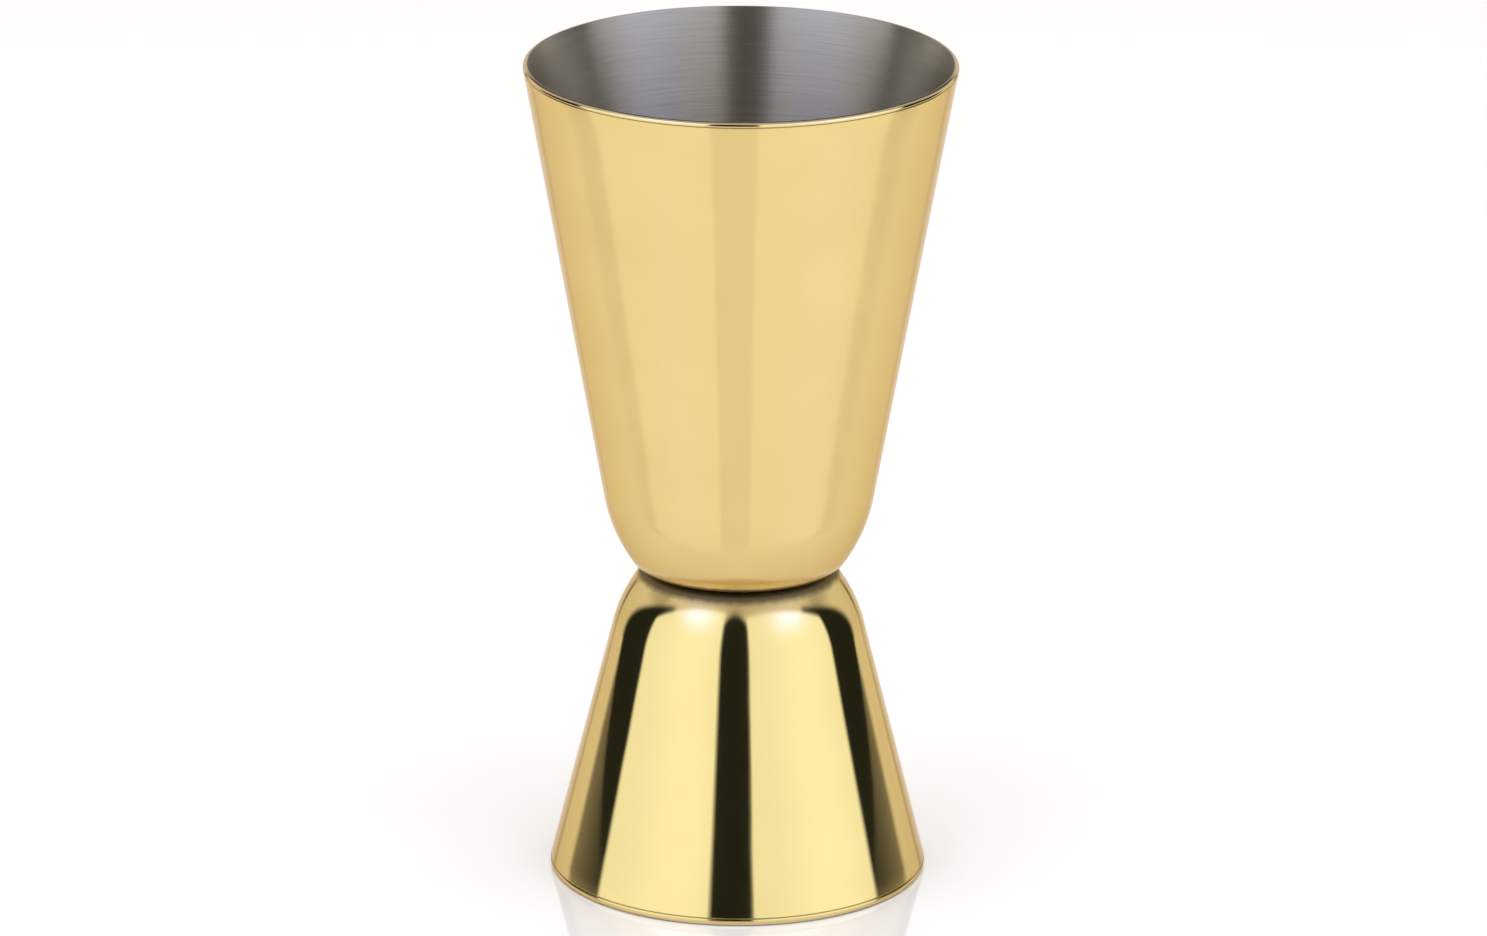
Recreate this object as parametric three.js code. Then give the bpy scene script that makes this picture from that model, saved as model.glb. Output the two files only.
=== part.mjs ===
// Bar jigger: a double-ended spirit measure. Two drawn steel cups are welded bottom to bottom. The large cup
// opens upwards, and the small one is upside down below it, so its lip is the foot that the jigger stands on.
// Millimetres, +Z up. The origin is the centre of the foot, on the surface that the jigger stands on.
import * as THREE from "three";

// Heights above the foot
const HEIGHT = 83.9;
const LOWER_DEPTH = 31.75;
const BOTTOM_GAP = 0.375; // between the two flat bottoms, where the welds are

// Sheet metal that both cups are drawn from
const WALL = 0.5;
const LIP_ROUND = 0.15; // on both edges of a lip, which leaves it a narrow flat top
const CORNER_RADIUS = 1.2; // outside, where a cup's shoulder meets its flat bottom

// Each cup is a cone, then a round shoulder, then a tight corner, then a flat bottom. Radii are on the outside.
const UPPER_CUP = {
  mouthRadius: 21.59,
  depth: HEIGHT - LOWER_DEPTH - BOTTOM_GAP,
  halfAngle: THREE.MathUtils.degToRad(10.25),
  shoulderRadius: 15.9,
  flatRadius: 9.8,
};
const LOWER_CUP = {
  mouthRadius: 18.97,
  depth: LOWER_DEPTH,
  halfAngle: THREE.MathUtils.degToRad(14.1),
  shoulderRadius: 14.5,
  flatRadius: 8.8,
};

// Welds: small flat nuggets of fused steel, in a ring between the two bottoms
const WELD_COUNT = 3;
const WELD_RADIUS = 2;
const WELD_CIRCLE = 5;

// How finely the round shapes are divided
const SIDES = 72;
const SHOULDER_STEPS = 6;
const CORNER_STEPS = 3;
const LIP_STEPS = 2;
const WELD_SIDES = 24;

const goldPolish = { color: 0xe6cd82, metalness: 1, roughness: 0.12 };
const bareSteel = { color: 0x9a9793, metalness: 1, roughness: 0.4 };

// Points of an arc about (x, y), both ends included.
function arc(x, y, radius, startAngle, endAngle, steps) {
  const points = [];
  for (let i = 0; i <= steps; i += 1) {
    const angle = THREE.MathUtils.lerp(startAngle, endAngle, i / steps);
    points.push(new THREE.Vector2(x + radius * Math.cos(angle), y + radius * Math.sin(angle)));
  }
  return points;
}

// The centre of the shoulder and the angle where it meets the corner. The shoulder touches the cone, the corner
// touches the bottom plane at flatRadius, and the two arcs touch each other.
function shoulderOf({ mouthRadius, depth, halfAngle, shoulderRadius, flatRadius }) {
  const slope = Math.tan(halfAngle);
  const offset = mouthRadius - slope * depth - shoulderRadius / Math.cos(halfAngle);
  const reach = shoulderRadius - CORNER_RADIUS;
  const a = 1 + slope * slope;
  const b = 2 * slope * (offset - flatRadius) - 2 * CORNER_RADIUS;
  const c = (offset - flatRadius) ** 2 + CORNER_RADIUS ** 2 - reach ** 2;
  const y = (-b + Math.sqrt(b * b - 4 * a * c)) / (2 * a);
  const x = offset + slope * y;
  return { x, y, meetAngle: Math.atan2(CORNER_RADIUS - y, flatRadius - x) };
}

// A cup's section, mouth up with its bottom at y = 0: from the axis along the outside, over the lip, down the
// inside and back to the axis. The inside has the same arc centres, with radii smaller by the wall.
function cupSection(cup) {
  const { mouthRadius, depth, halfAngle, shoulderRadius, flatRadius } = cup;
  const shoulder = shoulderOf(cup);
  const down = -Math.PI / 2;
  const coneAngle = -halfAngle;
  const shoulderArc = (radius, from, to) => arc(shoulder.x, shoulder.y, radius, from, to, SHOULDER_STEPS);
  const cornerArc = (radius, from, to) => arc(flatRadius, CORNER_RADIUS, radius, from, to, CORNER_STEPS);

  const lipY = depth - LIP_ROUND;
  const outerAtLip = mouthRadius - LIP_ROUND * Math.tan(halfAngle);
  const innerAtLip = outerAtLip - WALL / Math.cos(halfAngle);
  const lipInset = LIP_ROUND / Math.cos(halfAngle);
  const up = Math.PI / 2;

  return [
    new THREE.Vector2(0, 0),
    ...cornerArc(CORNER_RADIUS, down, shoulder.meetAngle),
    ...shoulderArc(shoulderRadius, shoulder.meetAngle, coneAngle).slice(1),
    ...arc(outerAtLip - lipInset, lipY, LIP_ROUND, coneAngle, up, LIP_STEPS),
    ...arc(innerAtLip + lipInset, lipY, LIP_ROUND, up, Math.PI - halfAngle, LIP_STEPS),
    ...shoulderArc(shoulderRadius - WALL, coneAngle, shoulder.meetAngle),
    ...cornerArc(CORNER_RADIUS - WALL, shoulder.meetAngle, down).slice(1),
    new THREE.Vector2(0, WALL),
  ];
}

// LatheGeometry turns its section about Y, so the shape is stood up along Z.
function cupMesh(name, cup) {
  const geometry = new THREE.LatheGeometry(cupSection(cup), SIDES);
  geometry.rotateX(Math.PI / 2);
  const mesh = new THREE.Mesh(geometry, new THREE.MeshStandardMaterial(goldPolish));
  mesh.name = name;
  return mesh;
}

function weldMesh(index) {
  const geometry = new THREE.CylinderGeometry(WELD_RADIUS, WELD_RADIUS, BOTTOM_GAP, WELD_SIDES);
  geometry.rotateX(Math.PI / 2);
  const mesh = new THREE.Mesh(geometry, new THREE.MeshStandardMaterial(bareSteel));
  const angle = Math.PI / 2 + (index * 2 * Math.PI) / WELD_COUNT;
  mesh.name = `weld_nugget_${index + 1}`;
  mesh.position.set(
    WELD_CIRCLE * Math.cos(angle),
    WELD_CIRCLE * Math.sin(angle),
    LOWER_DEPTH + BOTTOM_GAP / 2,
  );
  return mesh;
}

const jigger = new THREE.Group();

const upperCup = cupMesh("upper_cup", UPPER_CUP);
upperCup.position.z = LOWER_DEPTH + BOTTOM_GAP;
jigger.add(upperCup);

const lowerCup = cupMesh("lower_cup", LOWER_CUP);
lowerCup.rotation.x = Math.PI;
lowerCup.position.z = LOWER_DEPTH;
jigger.add(lowerCup);

for (let i = 0; i < WELD_COUNT; i += 1) {
  jigger.add(weldMesh(i));
}

export default jigger;
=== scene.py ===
"""Looks of the bar jigger: two drawn cups, polished and gold-coloured outside, bare brushed steel inside.

They stand on a white table between softboxes. Metres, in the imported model's frame: +Z up, origin at the
centre of the foot. Azimuths are in degrees round the object, 0 towards the camera and positive to the
camera's right.
"""
import math

import bpy
from mathutils import Matrix, Vector


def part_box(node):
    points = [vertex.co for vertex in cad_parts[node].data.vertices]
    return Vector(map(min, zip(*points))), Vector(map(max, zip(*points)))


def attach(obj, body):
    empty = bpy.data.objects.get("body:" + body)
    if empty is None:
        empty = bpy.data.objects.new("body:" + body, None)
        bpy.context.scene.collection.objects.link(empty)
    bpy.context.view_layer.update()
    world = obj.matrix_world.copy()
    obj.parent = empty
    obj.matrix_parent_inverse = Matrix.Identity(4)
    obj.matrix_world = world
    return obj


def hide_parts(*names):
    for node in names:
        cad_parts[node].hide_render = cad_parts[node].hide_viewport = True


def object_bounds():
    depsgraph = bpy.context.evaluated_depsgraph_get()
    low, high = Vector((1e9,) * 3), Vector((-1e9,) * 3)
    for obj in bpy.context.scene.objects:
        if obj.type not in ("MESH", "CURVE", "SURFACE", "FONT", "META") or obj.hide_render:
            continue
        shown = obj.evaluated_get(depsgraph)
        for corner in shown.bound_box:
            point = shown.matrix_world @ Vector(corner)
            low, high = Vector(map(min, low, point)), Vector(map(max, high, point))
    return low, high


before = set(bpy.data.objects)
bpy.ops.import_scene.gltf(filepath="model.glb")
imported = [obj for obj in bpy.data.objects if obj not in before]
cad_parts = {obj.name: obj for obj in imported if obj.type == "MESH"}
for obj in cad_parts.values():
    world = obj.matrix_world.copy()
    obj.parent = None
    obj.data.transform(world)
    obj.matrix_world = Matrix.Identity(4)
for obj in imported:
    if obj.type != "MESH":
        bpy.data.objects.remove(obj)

CAD_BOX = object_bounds()
MM = 0.001

# The sheet metal, and the cups' shapes where their boxes don't say them
WALL = 0.5 * MM
LIP_OUTSIDE = 0.36 * MM  # the lips are rounded over from the coated side
MOUTH_LIP_HEIGHT = 0.34 * MM
FOOT_LIP_HEIGHT = 0.5 * MM
LIP_INSIDE = 0.06 * MM
LIP_LINE = 0.11 * MM  # half the width of the fine line that the edge grinding leaves below the lip
LIP_LINE_DEPTH = 0.014 * MM
LIP_RUBBED = (0.1 * MM, 0.34 * MM)  # from the crest: where the lip is rubbed pale, and where that ends
CORNER_RADIUS = 1.2 * MM
UPPER_HALF_ANGLE = math.radians(10.25)
UPPER_SHOULDER = 15.9 * MM
UPPER_FLAT = 9.8 * MM
LOWER_HALF_ANGLE = math.radians(14.1)
LOWER_SHOULDER = 14.5 * MM
LOWER_FLAT = 8.8 * MM

# The weld dimples, pressed into both cup floors by the electrodes
WELDS = [name for name in sorted(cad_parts) if name.startswith("weld_nugget")]
DIMPLE_RADIUS = 1.7 * MM
DIMPLE_DEPTH = 0.12 * MM
DIMPLE_RIM = 0.02 * MM  # the raised edge round a dimple: its height and half its width
DIMPLE_RIM_WIDTH = 0.3 * MM
HEAT_RADIUS = 2.9 * MM

# The neck: how far from it the polish is dull, the painted shade and grime reach, and the upper corner's
# coating is thin
NECK_DULL = (0.5 * MM, 3.0 * MM)
SHADE_AND_GRIME_FULL = 0.35 * MM
UPPER_SHADE_AND_GRIME = 1.15 * MM
LOWER_SHADE_AND_GRIME = 1.9 * MM
CORNER_BARE = (1.1 * MM, 1.6 * MM)

# How finely the round shapes are divided
SIDES = 288
CORNER_STEPS = 10
SHOULDER_STEPS = 40
CONE_STEPS = 20
LIP_STEPS = 12
LINE_STEPS = 8
FLOOR_STEPS = 36

GOLD, STEEL = 0, 1  # a cup's material slots


# ---------------------------------------------------------------- shapes

def arc(x, y, radius, start, end, steps):
    """Points of an arc about (x, y), without its first point."""
    turn = (end - start) / steps
    angles = [start + turn * (i + 1) for i in range(steps)]
    return [(x + radius * math.cos(a), y + radius * math.sin(a)) for a in angles]


def line(start, end, steps):
    """Points of a straight line, without its first point."""
    shares = [(i + 1) / steps for i in range(steps)]
    return [(start[0] + (end[0] - start[0]) * t, start[1] + (end[1] - start[1]) * t) for t in shares]


class Cup:
    """A cup's section, mouth up: a cone, a round shoulder, a corner and a flat bottom at height 0."""

    def __init__(self, widest, depth, lip_height, half_angle, shoulder_radius, flat_radius):
        self.depth = depth
        self.lip_height = lip_height
        self.half_angle = half_angle
        self.shoulder_radius = shoulder_radius
        self.flat_radius = flat_radius
        slope = math.tan(half_angle)
        self.lip_radius = widest - LIP_OUTSIDE
        self.lip_turn = math.atan(slope * lip_height / LIP_OUTSIDE)  # where the oval rounding meets the cone
        lip_x = self.lip_radius + LIP_OUTSIDE * math.cos(self.lip_turn)
        lip_y = depth - lip_height - lip_height * math.sin(self.lip_turn)
        self.lip_start = (lip_x, lip_y)
        # The shoulder touches the cone, the corner touches the bottom, and the two arcs touch each other.
        offset = lip_x - slope * lip_y - shoulder_radius / math.cos(half_angle)
        reach = shoulder_radius - CORNER_RADIUS
        a = 1 + slope * slope
        b = 2 * slope * (offset - flat_radius) - 2 * CORNER_RADIUS
        c = (offset - flat_radius) ** 2 + CORNER_RADIUS ** 2 - reach ** 2
        self.shoulder_y = (-b + math.sqrt(b * b - 4 * a * c)) / (2 * a)
        self.shoulder_x = offset + slope * self.shoulder_y
        self.meet = math.atan2(CORNER_RADIUS - self.shoulder_y, flat_radius - self.shoulder_x)

    def section(self):
        """(radius, height, material, line) of each point, up the outside, over the lip and back inside.

        line is 1 at the bottom of the fine line below the lip, and 0 away from it."""
        down, up = -math.pi / 2, math.pi / 2
        sine, cosine = math.sin(self.half_angle), math.cos(self.half_angle)
        flat = self.flat_radius
        shoulder = (self.shoulder_x, self.shoulder_y)
        lip_start = self.lip_start
        line_start = (lip_start[0] - 2 * LIP_LINE * sine, lip_start[1] - 2 * LIP_LINE * cosine)
        outside = [(0, 0)] + line((0, 0), (flat, 0), 3)
        outside += arc(flat, CORNER_RADIUS, CORNER_RADIUS, down, self.meet, CORNER_STEPS)
        outside += arc(*shoulder, self.shoulder_radius, self.meet, -self.half_angle, SHOULDER_STEPS)
        outside += line(outside[-1], line_start, CONE_STEPS)

        groove = []
        for i in range(1, LINE_STEPS):
            along = 2 * LIP_LINE * i / LINE_STEPS
            share = math.sin(math.pi * i / LINE_STEPS) ** 2
            sunk = LIP_LINE_DEPTH * share
            x = line_start[0] + along * sine - sunk * cosine
            y = line_start[1] + along * cosine + sunk * sine
            groove.append((x, y, GOLD, share))

        rounding = []
        for i in range(LIP_STEPS + 1):
            turn = -self.lip_turn + (up + self.lip_turn) * i / LIP_STEPS
            x = self.lip_radius + LIP_OUTSIDE * math.cos(turn)
            rounding.append((x, self.depth - self.lip_height + self.lip_height * math.sin(turn)))
        rise = self.depth - LIP_INSIDE - lip_start[1]
        inner_wall = lip_start[0] + (rise * sine - WALL) / cosine
        inner_lip = (inner_wall + LIP_INSIDE / cosine, self.depth - LIP_INSIDE)
        inner_shoulder = self.shoulder_radius - WALL
        shoulder_top = (shoulder[0] + inner_shoulder * cosine, shoulder[1] - inner_shoulder * sine)
        inside = arc(*inner_lip, LIP_INSIDE, up, math.pi - self.half_angle, LIP_STEPS)
        inside += line(inside[-1], shoulder_top, CONE_STEPS)
        inside += arc(*shoulder, inner_shoulder, -self.half_angle, self.meet, SHOULDER_STEPS)
        inside += arc(flat, CORNER_RADIUS, CORNER_RADIUS - WALL, self.meet, down, CORNER_STEPS)
        inside += line((flat, WALL), (0, WALL), FLOOR_STEPS)
        gold_points = [(r, h, GOLD, 0) for r, h in outside] + groove + [(r, h, GOLD, 0) for r, h in rounding]
        return gold_points + [(r, h, STEEL, 0) for r, h in inside]


def make_piece(name, vertices, faces):
    mesh = bpy.data.meshes.new(name)
    mesh.from_pydata(vertices, [], faces)
    piece = bpy.data.objects.new(name, mesh)
    bpy.context.scene.collection.objects.link(piece)
    return piece


def add_attribute(piece, name, values):
    attribute = piece.data.attributes.new(name, "FLOAT", "POINT")
    attribute.data.foreach_set("value", values)


def revolve(name, section, sides=SIDES, place=Matrix.Identity(4)):
    """A closed smooth mesh turned about Z. A band of faces takes the material of its later ring."""
    rings, vertices, marks, faces, slots = [], [], [], [], []
    for radius, height, _, mark in section:
        start = len(vertices)
        count = sides if radius > 0 else 1
        for k in range(count):
            angle = 2 * math.pi * k / sides
            vertices.append(place @ Vector((radius * math.cos(angle), radius * math.sin(angle), height)))
        marks += [mark] * count
        rings.append([start + k % count for k in range(sides)])
    for i in range(len(rings) - 1):
        low, high = rings[i], rings[i + 1]
        for k in range(sides):
            n = (k + 1) % sides
            corners = [low[k], low[n], high[n], high[k]]
            faces.append(list(dict.fromkeys(corners)))
            slots.append(section[i + 1][2])
    piece = make_piece(name, vertices, faces)
    piece.data.polygons.foreach_set("material_index", slots)
    piece.data.polygons.foreach_set("use_smooth", [True] * len(faces))
    piece.data.update()
    add_attribute(piece, "line", marks)
    return piece


def smoothstep(low, high, value):
    """0 at low and 1 at high, which may be the smaller of the two."""
    t = min(max((value - low) / (high - low), 0), 1)
    return t * t * (3 - 2 * t)


# ---------------------------------------------------------------- materials

class Nodes:
    """Short calls for building one material's node tree."""

    def __init__(self, name):
        self.material = bpy.data.materials.new(name)
        self.material.use_nodes = True
        self.tree = self.material.node_tree
        self.shader = self.tree.nodes["Principled BSDF"]

    def add(self, kind, **settings):
        node = self.tree.nodes.new(kind)
        for key, value in settings.items():
            setattr(node, key, value)
        return node

    def link(self, output, target):
        self.tree.links.new(output, target)

    def value(self, name, value):
        self.shader.inputs[name].default_value = value

    def math(self, operation, a, b=None, clamp=False):
        node = self.add("ShaderNodeMath", operation=operation, use_clamp=clamp)
        for i, term in enumerate((a, b)):
            if term is None:
                continue
            if isinstance(term, (int, float)):
                node.inputs[i].default_value = term
            else:
                self.link(term, node.inputs[i])
        return node.outputs[0]

    def place(self, scale, around=(0, 0, 0)):
        """Object coordinates, scaled. Z also counts the radius, so it runs along a cup's wall and floor."""
        coordinates = self.add("ShaderNodeTexCoord").outputs["Object"]
        parts = self.add("ShaderNodeSeparateXYZ")
        self.link(coordinates, parts.inputs[0])
        squares = [self.math("MULTIPLY", parts.outputs[i], parts.outputs[i]) for i in (0, 1)]
        radius = self.math("SQRT", self.math("ADD", *squares))
        along = self.math("ADD", parts.outputs[2], radius)
        joined = self.add("ShaderNodeCombineXYZ")
        for i, source in enumerate((parts.outputs[0], parts.outputs[1], along)):
            scaled = self.math("MULTIPLY", source, scale[i])
            self.link(self.math("ADD", scaled, around[i]), joined.inputs[i])
        return joined.outputs[0]

    def noise(self, scale, detail=3.0, roughness=0.5, around=(0, 0, 0)):
        node = self.add("ShaderNodeTexNoise")
        node.inputs["Scale"].default_value = 1.0
        node.inputs["Detail"].default_value = detail
        node.inputs["Roughness"].default_value = roughness
        self.link(self.place(scale, around), node.inputs["Vector"])
        return node.outputs["Fac"]

    def ramp(self, factor, stops):
        node = self.add("ShaderNodeValToRGB")
        elements = node.color_ramp.elements
        while len(elements) < len(stops):
            elements.new(0.5)
        for element, (position, colour) in zip(elements, stops):
            element.position = position
            element.color = (*colour, 1)
        self.link(factor, node.inputs[0])
        return node.outputs[0]

    def span(self, factor, low, high):
        """factor, from 0 to 1, spread from low to high."""
        node = self.add("ShaderNodeMapRange")
        node.inputs["To Min"].default_value = low
        node.inputs["To Max"].default_value = high
        self.link(factor, node.inputs["Value"])
        return node.outputs[0]

    def mix(self, factor, a, b):
        """Colours a and b mixed by factor. Each may be a socket or a plain colour."""
        node = self.add("ShaderNodeMix", data_type="RGBA")
        self.link(factor, node.inputs["Factor"])
        for socket, term in ((node.inputs[6], a), (node.inputs[7], b)):
            if isinstance(term, tuple):
                socket.default_value = (*term, 1)
            else:
                self.link(term, socket)
        return node.outputs[2]

    def attribute(self, name):
        return self.add("ShaderNodeAttribute", attribute_name=name).outputs["Fac"]

    def bump(self, height, distance, strength=1.0, below=None):
        node = self.add("ShaderNodeBump")
        node.inputs["Distance"].default_value = distance
        node.inputs["Strength"].default_value = strength
        self.link(height, node.inputs["Height"])
        if below is not None:
            self.link(below, node.inputs["Normal"])
        return node.outputs[0]


def gold_polish():
    """The coated, mirror-polished outside: faint polishing rings and a slight unevenness.

    Near the neck, where the polish hardly reaches, it is duller, and the crevice is painted dark brown:
    painted shade between the cups, partly grime. The groove below each lip is painted dark too: painted
    shade.
    The coating is thin on the upper cup's corner and rubbed pale on the lips."""
    n = Nodes("gold_polish")
    n.value("Metallic", 1.0)
    n.value("Specular Tint", (0.8, 0.69, 0.56, 1))
    tone = n.noise((90, 90, 140), detail=2)
    gold = n.ramp(tone, [(0.3, (0.695, 0.522, 0.208)), (0.7, (0.72, 0.545, 0.220))])
    thin = n.noise((700, 700, 700), detail=3, around=(3, 3, 8))
    pale = n.math("MULTIPLY", n.attribute("neck"), n.span(thin, 0.6, 1.2), clamp=True)
    colour = n.mix(pale, gold, (0.73, 0.56, 0.25))
    colour = n.mix(n.attribute("bare"), colour, (0.8, 0.68, 0.42))
    rubbed = n.math("MULTIPLY", n.attribute("lip"), n.span(thin, 0.35, 1.15), clamp=True)
    colour = n.mix(rubbed, colour, (0.72, 0.62, 0.46))

    # Painted shade, partly grime: the crevice at the neck is painted dark brown, with ragged edges
    shade_and_grime_noise = n.noise((1300, 1300, 1300), detail=4, roughness=0.65, around=(1, 7, 3))
    ragged = n.math("ADD", n.attribute("crevice_shade_and_grime"), n.span(shade_and_grime_noise, -0.2, 0.2))
    dark = n.span(n.math("MULTIPLY", n.math("SUBTRACT", ragged, 0.3), 2.0), 0, 1)
    # Painted shade: the groove below each lip is painted dark as well
    groove_shade = n.math("MULTIPLY", n.attribute("line"), n.span(shade_and_grime_noise, 0.8, 1.3))
    dark = n.math("MAXIMUM", dark, groove_shade)
    # Painted shade: the crevice and the groove are mixed towards dark brown
    colour = n.mix(dark, colour, (0.22, 0.16, 0.07))
    n.link(colour, n.shader.inputs["Base Color"])

    rings = n.noise((160, 160, 9000), detail=4, roughness=0.6)
    haze = n.noise((420, 420, 420), detail=3, around=(5, 2, 9))
    polish = n.math("ADD", n.span(rings, 0.04, 0.08), n.span(haze, -0.012, 0.02))
    roughness = n.math("ADD", polish, n.math("MULTIPLY", n.attribute("neck"), 0.14))
    n.link(n.math("ADD", roughness, n.math("MULTIPLY", dark, 0.3)), n.shader.inputs["Roughness"])

    swell = n.noise((230, 230, 150), detail=1)
    uneven = n.bump(swell, 0.012 * MM)
    n.link(n.bump(rings, 0.00035 * MM, below=uneven), n.shader.inputs["Normal"])
    return n.material


def brushed_steel():
    """Bare steel, brushed round the inside, with straw and blue heat tint round each weld dimple."""
    n = Nodes("brushed_steel")
    n.value("Metallic", 1.0)
    n.value("Anisotropic", 0.9)
    n.value("Anisotropic Rotation", 0.25)
    long_streaks = n.noise((60, 60, 6500), detail=4, roughness=0.7)
    short_streaks = n.noise((190, 190, 12000), detail=3, roughness=0.6, around=(2, 5, 1))
    streaks = n.math("ADD", n.math("MULTIPLY", long_streaks, 0.4), n.math("MULTIPLY", short_streaks, 0.6))
    broad = n.noise((60, 60, 300), detail=2, around=(4, 1, 2))
    steel = n.ramp(streaks, [(0.34, (0.425, 0.385, 0.322)), (0.64, (0.595, 0.545, 0.458))])
    steel = n.mix(n.span(broad, 0.0, 0.3), steel, (0.39, 0.35, 0.29))
    steel_grey, straw = (0.5, 0.49, 0.47), (0.48, 0.36, 0.17)
    purple, blue = (0.25, 0.17, 0.25), (0.17, 0.24, 0.38)
    heat = n.ramp(n.attribute("heat"), [(0.0, steel_grey), (0.35, straw), (0.6, purple), (0.8, blue)])
    tinted = n.math("MULTIPLY", n.attribute("heat"), 2.4, clamp=True)
    n.link(n.mix(tinted, steel, heat), n.shader.inputs["Base Color"])
    n.link(n.span(streaks, 0.31, 0.39), n.shader.inputs["Roughness"])
    tangent = n.add("ShaderNodeTangent", direction_type="RADIAL", axis="Z")
    n.link(tangent.outputs[0], n.shader.inputs["Tangent"])
    n.link(n.bump(short_streaks, 0.0008 * MM), n.shader.inputs["Normal"])
    return n.material


def weld_steel():
    """Fused steel between the two bottoms, with a heat tint and a pitted surface."""
    n = Nodes("weld_steel")
    n.value("Metallic", 1.0)
    pits = n.noise((3000, 3000, 3000), detail=4)
    tinted = n.ramp(pits, [(0.35, (0.16, 0.13, 0.12)), (0.7, (0.42, 0.40, 0.38))])
    n.link(tinted, n.shader.inputs["Base Color"])
    n.link(n.span(pits, 0.35, 0.6), n.shader.inputs["Roughness"])
    n.link(n.bump(pits, 0.02 * MM), n.shader.inputs["Normal"])
    return n.material


# ---------------------------------------------------------------- the two cups and their welds

def cup_from_box(node, lip_height, half_angle, shoulder_radius, flat_radius):
    low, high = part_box(node)
    return Cup(high.x, high.z - low.z, lip_height, half_angle, shoulder_radius, flat_radius), low.z, high.z


def weld_centres():
    boxes = [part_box(name) for name in WELDS]
    return [Vector(((low.x + high.x) / 2, (low.y + high.y) / 2)) for low, high in boxes]


def finish_cup(piece, floor_height, cavity_way, neck_height, mouth_height):
    """Presses the weld dimples into the cup's floor, and writes the attributes that the materials read.

    cavity_way is 1 where the cavity is above the floor, and -1 where it is below."""
    centres = weld_centres()
    shade_and_grime_reach = UPPER_SHADE_AND_GRIME if cavity_way > 0 else LOWER_SHADE_AND_GRIME
    heat, crevice_shade_and_grime, neck, lip, bare = [], [], [], [], []
    for vertex in piece.data.vertices:
        flat = Vector((vertex.co.x, vertex.co.y))
        on_floor = abs(vertex.co.z - floor_height) < 0.01 * MM
        nearest = min((flat - centre).length for centre in centres)
        heat.append(1 - smoothstep(0, HEAT_RADIUS, nearest) if on_floor else 0)
        from_neck = abs(vertex.co.z - neck_height)
        # painted shade, partly grime: how dark the crevice is painted, fading away from the neck
        crevice_shade_and_grime.append(1 - smoothstep(SHADE_AND_GRIME_FULL, shade_and_grime_reach, from_neck))
        neck.append(1 - smoothstep(*NECK_DULL, from_neck))
        bare.append(1 - smoothstep(*CORNER_BARE, from_neck) if cavity_way > 0 else 0)
        lip.append(1 - smoothstep(*LIP_RUBBED, abs(vertex.co.z - mouth_height)))
        if on_floor:
            pressed = 1 - smoothstep(0.55 * DIMPLE_RADIUS, DIMPLE_RADIUS, nearest)
            rim = math.exp(-((nearest - DIMPLE_RADIUS) / DIMPLE_RIM_WIDTH) ** 2)
            vertex.co.z -= cavity_way * (DIMPLE_DEPTH * pressed - DIMPLE_RIM * rim)
    add_attribute(piece, "heat", heat)
    add_attribute(piece, "crevice_shade_and_grime", crevice_shade_and_grime)
    add_attribute(piece, "neck", neck)
    add_attribute(piece, "lip", lip)
    add_attribute(piece, "bare", bare)
    piece.data.materials.append(gold)
    piece.data.materials.append(steel)


gold = gold_polish()
steel = brushed_steel()
fused = weld_steel()

upper, UPPER_LOW, UPPER_HIGH = cup_from_box(
    "upper_cup", MOUTH_LIP_HEIGHT, UPPER_HALF_ANGLE, UPPER_SHOULDER, UPPER_FLAT
)
lower, LOWER_LOW, LOWER_HIGH = cup_from_box(
    "lower_cup", FOOT_LIP_HEIGHT, LOWER_HALF_ANGLE, LOWER_SHOULDER, LOWER_FLAT
)
NECK = (UPPER_LOW + LOWER_HIGH) / 2

large_cup = revolve("large_cup", upper.section(), place=Matrix.Translation((0, 0, UPPER_LOW)))
finish_cup(large_cup, UPPER_LOW + WALL, 1, NECK, UPPER_HIGH)
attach(large_cup, "root")
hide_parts("upper_cup")

turned_over = Matrix.Translation((0, 0, LOWER_HIGH)) @ Matrix.Rotation(math.pi, 4, "X")
small_cup = revolve("small_cup", lower.section(), place=turned_over)
finish_cup(small_cup, LOWER_HIGH - WALL, -1, NECK, LOWER_LOW)
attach(small_cup, "root")
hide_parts("lower_cup")


def weld_section(radius, half_height):
    """A squeezed-out nugget: flat where it meets the bottoms, and bulged between them."""
    bulge = half_height
    side = arc(radius, 0, bulge, -math.pi / 2, math.pi / 2, 10)
    points = [(0, -half_height), (radius, -half_height)] + side + [(0, half_height)]
    return [(r, h, 0, 0) for r, h in points]


for name in WELDS:
    low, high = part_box(name)
    middle = (low + high) / 2
    half_height = (high.z - low.z) / 2
    section = weld_section((high.x - low.x) / 2 - half_height, half_height)
    nugget = revolve(name.replace("weld_nugget", "fused_nugget"), section, 64, Matrix.Translation(middle))
    nugget.data.materials.append(fused)
    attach(nugget, "root")
    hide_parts(name)


# ---------------------------------------------------------------- stage and light

CENTRE = (CAD_BOX[0] + CAD_BOX[1]) / 2
TABLE = (0.19, 0.35)  # half its width, and half its depth
LAMP_HEIGHT = 0.76
LAMP_SIZE = 1.3
LAMP_POWER = 8.4  # watts
LAMP_COLOUR = (1.0, 0.985, 0.95)

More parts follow.
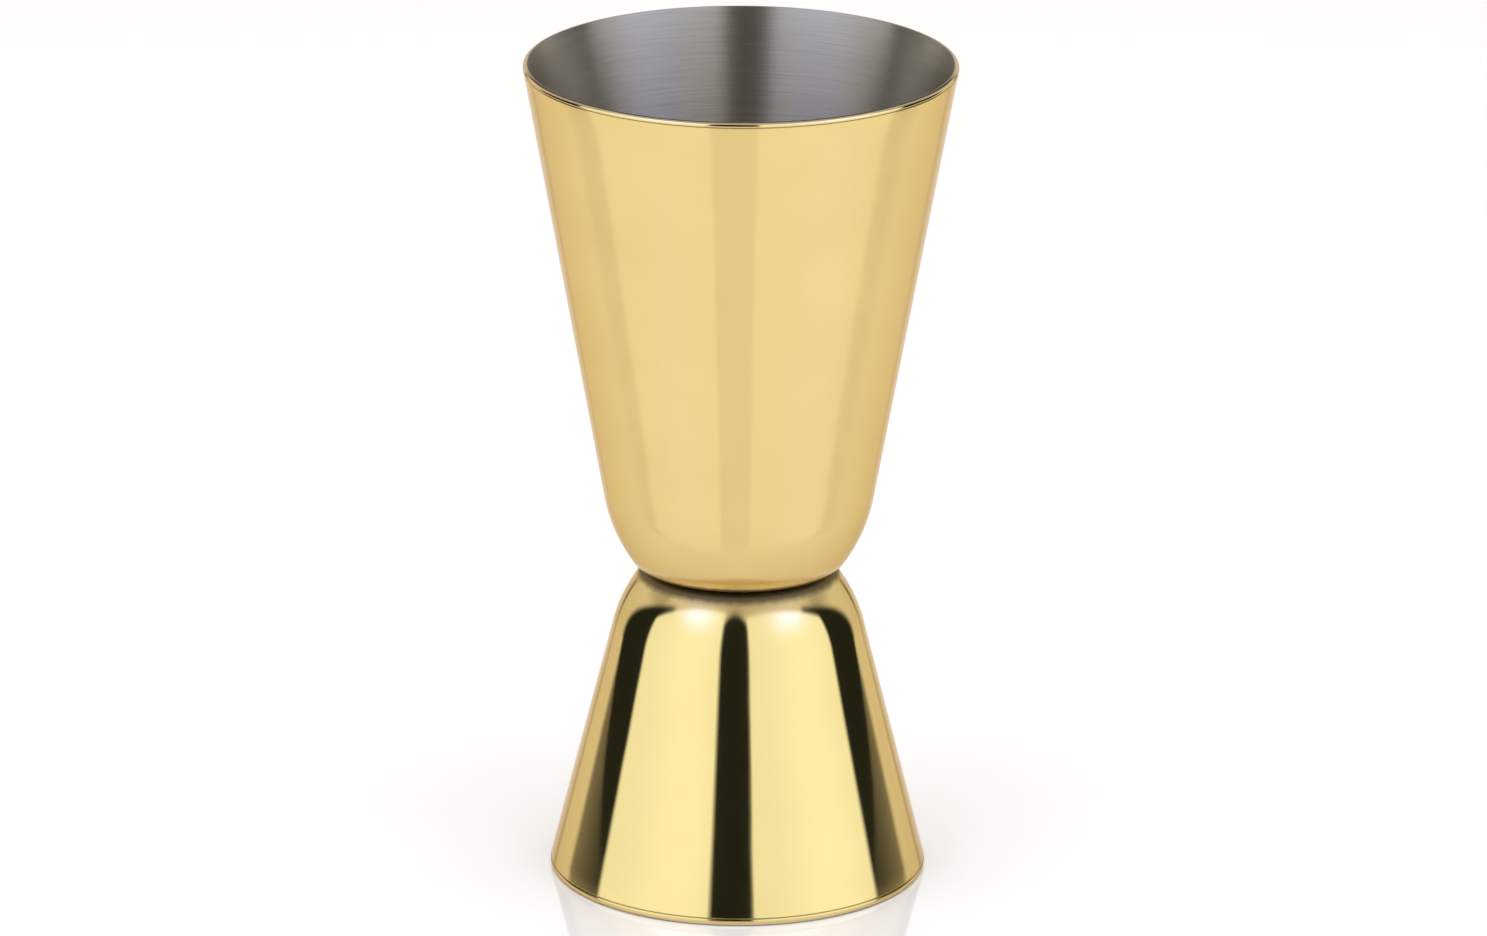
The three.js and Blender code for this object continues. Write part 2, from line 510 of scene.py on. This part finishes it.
# The light tent round the table: pale walls, a large softbox on either side of the camera, and dark slits
# between them. Azimuths and elevations are in degrees, seen from the foot. Lights are red, green and blue.
TENT_RADIUS = 0.8
TENT_LOW = -24
WALL_LIGHT = (0.92, 0.92, 0.92)
CEILING_LIGHT = (0.58, 0.56, 0.53)
UPPER_BACK_LIGHT = (0.12, 0.105, 0.095)
SLIT_LIGHT = (0.021, 0.0257, 0.024)
SOFTBOX_LIGHT = (1.39, 1.53, 1.7)
HOT_SPOT_LIGHT = (0.3, 0.42, 2.5)
SIDE_HAZE = ((86, 96), (19, 30))  # azimuths and elevations over which the sides dim to the ceiling's light
CEILING_EDGE = (40, 60)
UPPER_BACK_SIDES = (130, 150)
UPPER_BACK_FOOT = (21, 28)
UPPER_BACK_TOP = (60, 80)
# A softbox is its first and last azimuth, the azimuth it faces, and the elevation of its top edge there
LEFT_SOFTBOX = (-91.5, -16.5, -22, 49.0)
RIGHT_SOFTBOX = (9.3, 91.5, 25, 46.5)
SOFTBOX_MIDDLES = (-42, 60)  # where each is brightest
SOFTBOX_SPREAD = 28
HOT_SPOTS = [(-50, 42), (60, 38)]
HOT_SPOT_SIZE = (20, 10)  # across and up
FRONT_SLIT = (-16.5, 9.3, 46.0)  # first and last azimuth, and the elevation of its rounded top
SIDE_SLIT_INNER = 76
SIDE_SLIT_OUTER = (128, 79)  # azimuth of the outer edge at the horizon and at the top
SIDE_SLIT_TOP = 38
SIDE_SLIT_CURVE = 1.55
BACK_SEAMS = [-150, 150]
BACK_SEAM_HALF = 2.5
SOFT_EDGE = 0.8
BACK_SEAM_LIGHT = (0.3, 0.26, 0.2)


def direction(azimuth, elevation, distance):
    a, e = math.radians(azimuth), math.radians(elevation)
    return Vector((math.sin(a) * math.cos(e), -math.cos(a) * math.cos(e), math.sin(e))) * distance


def between(low, high, soft, value):
    """1 between low and high, falling to 0 over a soft edge."""
    return smoothstep(low - soft, low + soft, value) * (1 - smoothstep(high - soft, high + soft, value))


def wall_light(azimuth, elevation):
    """The tent's own cloth: lit low down, half lit overhead and high at the sides, dim high up behind."""
    away = abs(azimuth)
    (side_start, side_end), (haze_start, haze_end) = SIDE_HAZE
    aside = smoothstep(side_start, side_end, away) * smoothstep(haze_start, haze_end, elevation)
    behind = smoothstep(*UPPER_BACK_SIDES, away) * smoothstep(*UPPER_BACK_FOOT, elevation)
    behind *= 1 - smoothstep(*UPPER_BACK_TOP, elevation)
    light = Vector(WALL_LIGHT).lerp(Vector(CEILING_LIGHT), max(smoothstep(*CEILING_EDGE, elevation), aside))
    light = light.lerp(Vector(UPPER_BACK_LIGHT), behind)
    for seam in BACK_SEAMS:
        share = between(seam - BACK_SEAM_HALF, seam + BACK_SEAM_HALF, 1.5, azimuth)
        light = light.lerp(Vector(BACK_SEAM_LIGHT), share * smoothstep(40, 25, elevation))
    return light


def softbox_share(box, azimuth, elevation):
    """A flat upright panel's outline: its level top edge looks lower away from the azimuth it faces."""
    first, last, faces, top = box
    tilt = math.tan(math.radians(top)) * max(math.cos(math.radians(azimuth - faces)), 0.02)
    edge = math.degrees(math.atan(tilt))
    return between(first, last, SOFT_EDGE, azimuth) * (1 - smoothstep(edge - 1.5, edge + 2.5, elevation))


def front_slit_share(azimuth, elevation):
    """The slit between the softboxes, with a rounded top that fades out."""
    first, last, top = FRONT_SLIT
    middle, half = (first + last) / 2, (last - first) / 2
    rounded = top - 9 * (abs(azimuth - middle) / half) ** 2
    return between(first, last, SOFT_EDGE, azimuth) * (1 - smoothstep(rounded - 1, rounded + 9, elevation))


def side_slit_share(azimuth, elevation):
    """The slits beside the softboxes, alike on both sides, which lean over the softboxes at the top."""
    away = abs(azimuth)
    level, upper = SIDE_SLIT_OUTER
    outer = level + (upper - level) * (max(elevation, 0) / SIDE_SLIT_TOP) ** SIDE_SLIT_CURVE
    inside = smoothstep(SIDE_SLIT_INNER - 2, SIDE_SLIT_INNER + 2, away)
    inside *= 1 - smoothstep(outer - 4, outer + 3, away)
    return inside * (1 - smoothstep(SIDE_SLIT_TOP - 3, SIDE_SLIT_TOP, elevation))


def tent_light(azimuth, elevation):
    """The light that one point of the tent gives off."""
    slit = Vector(SLIT_LIGHT)
    light = wall_light(azimuth, elevation).lerp(slit, side_slit_share(azimuth, elevation))
    for box, middle, hot_spot in zip((LEFT_SOFTBOX, RIGHT_SOFTBOX), SOFTBOX_MIDDLES, HOT_SPOTS):
        even = 0.9 + 0.13 * math.exp(-((azimuth - middle) / SOFTBOX_SPREAD) ** 2)
        across = (azimuth - hot_spot[0]) / HOT_SPOT_SIZE[0]
        up = (elevation - hot_spot[1]) / HOT_SPOT_SIZE[1]
        inside = Vector(SOFTBOX_LIGHT) * even + Vector(HOT_SPOT_LIGHT) * math.exp(-across * across - up * up)
        light = light.lerp(inside, softbox_share(box, azimuth, elevation))
    return light.lerp(slit, front_slit_share(azimuth, elevation))


def add_stage(piece, material):
    piece.data.materials.append(material)


def glow(piece, lights):
    """Gives every corner its own light, and hides the piece from all but reflections and soft light."""
    attribute = piece.data.attributes.new("light", "FLOAT_COLOR", "POINT")
    attribute.data.foreach_set("color", [value for light in lights for value in (*light, 1)])
    piece.visible_camera = False
    piece.visible_shadow = False


def make_tent(material):
    columns, step = 240, 1.5
    rows = [TENT_LOW + step * i for i in range(round((90 - TENT_LOW) / step))]
    vertices, lights, faces = [], [], []
    for elevation in rows:
        for k in range(columns):
            azimuth = -180 + 360 * k / columns
            vertices.append(direction(azimuth, elevation, TENT_RADIUS))
            lights.append(tent_light(azimuth, elevation))
    for i in range(len(rows) - 1):
        for k in range(columns):
            n = (k + 1) % columns
            faces.append((i * columns + k, i * columns + n, (i + 1) * columns + n, (i + 1) * columns + k))
    last = (len(rows) - 1) * columns
    faces.append([last + k for k in range(columns)])
    tent = make_piece("tent", vertices, faces)
    glow(tent, lights)
    add_stage(tent, material)


def lit_cloth():
    """Gives off the light each corner of a mesh says, and reflects nothing."""
    n = Nodes("lit_cloth")
    n.value("Base Color", (0, 0, 0, 1))
    n.value("Specular IOR Level", 0.0)
    n.value("Emission Strength", 1.0)
    light = n.add("ShaderNodeAttribute", attribute_name="light")
    n.link(light.outputs["Color"], n.shader.inputs["Emission Color"])
    n.material.cycles.emission_sampling = "NONE"
    return n.material


def make_table():
    """White and glossy: two clear layers, so that it mirrors the dark slits at a low angle."""
    n = Nodes("white_table")
    n.value("Base Color", (0.88, 0.86, 0.83, 1))
    n.value("Roughness", 0.06)
    n.value("IOR", 1.38)
    n.value("Coat Weight", 1.0)
    n.value("Coat IOR", 1.38)
    n.value("Coat Roughness", 0.06)
    x, y = TABLE
    corners = [(-x, -y, 0), (x, -y, 0), (x, y, 0), (-x, y, 0)]
    add_stage(make_piece("table", corners, [(0, 1, 2, 3)]), n.material)


def make_lamp():
    """A broad lamp overhead that whitens the table and that no polished surface mirrors."""
    data = bpy.data.lights.new("overhead_lamp", "AREA")
    data.size = LAMP_SIZE
    data.energy = LAMP_POWER
    data.color = LAMP_COLOUR
    lamp = bpy.data.objects.new("overhead_lamp", data)
    bpy.context.scene.collection.objects.link(lamp)
    lamp.location = (0, 0, LAMP_HEIGHT)
    lamp.visible_camera = False
    lamp.visible_glossy = False


def make_world():
    """White to the camera, which looks past the table, and dark to everything else."""
    world = bpy.data.worlds.new("studio")
    bpy.context.scene.world = world
    world.use_nodes = True
    tree = world.node_tree
    dark = tree.nodes["Background"]
    dark.inputs["Color"].default_value = (0.03, 0.027, 0.024, 1)
    white = tree.nodes.new("ShaderNodeBackground")
    white.inputs["Color"].default_value = (1, 1, 0.99, 1)
    seen = tree.nodes.new("ShaderNodeLightPath")
    pick = tree.nodes.new("ShaderNodeMixShader")
    tree.links.new(seen.outputs["Is Camera Ray"], pick.inputs[0])
    tree.links.new(dark.outputs[0], pick.inputs[1])
    tree.links.new(white.outputs[0], pick.inputs[2])
    tree.links.new(pick.outputs[0], tree.nodes["World Output"].inputs["Surface"])


# ---------------------------------------------------------------- camera

CAMERA_DISTANCE = 0.9778
CAMERA_ELEVATION = math.radians(18.10)
CAMERA_ROLL = math.radians(0.2645)
LENS = 236.7
SENSOR_WIDTH = 36.0
OFF_CENTRE = (0.0029, -0.0007)  # the lens's shift to the right and up, in frame widths


def make_camera():
    data = bpy.data.cameras.new("camera")
    data.sensor_width = SENSOR_WIDTH
    data.lens = LENS
    data.shift_x, data.shift_y = OFF_CENTRE
    data.clip_start = 0.05
    data.clip_end = 20
    camera = bpy.data.objects.new("camera", data)
    bpy.context.scene.collection.objects.link(camera)
    back = Vector((0, -math.cos(CAMERA_ELEVATION), math.sin(CAMERA_ELEVATION)))
    camera.location = CENTRE + back * CAMERA_DISTANCE
    upright = (-back).to_track_quat("-Z", "Y").to_matrix().to_4x4()
    turned = upright @ Matrix.Rotation(CAMERA_ROLL, 4, "Z")
    camera.rotation_euler = turned.to_euler()
    bpy.context.scene.camera = camera


cloth = lit_cloth()
make_table()
make_lamp()
make_tent(cloth)
make_world()
make_camera()
bpy.context.scene.view_settings.view_transform = "Standard"
bpy.context.scene.view_settings.look = "None"
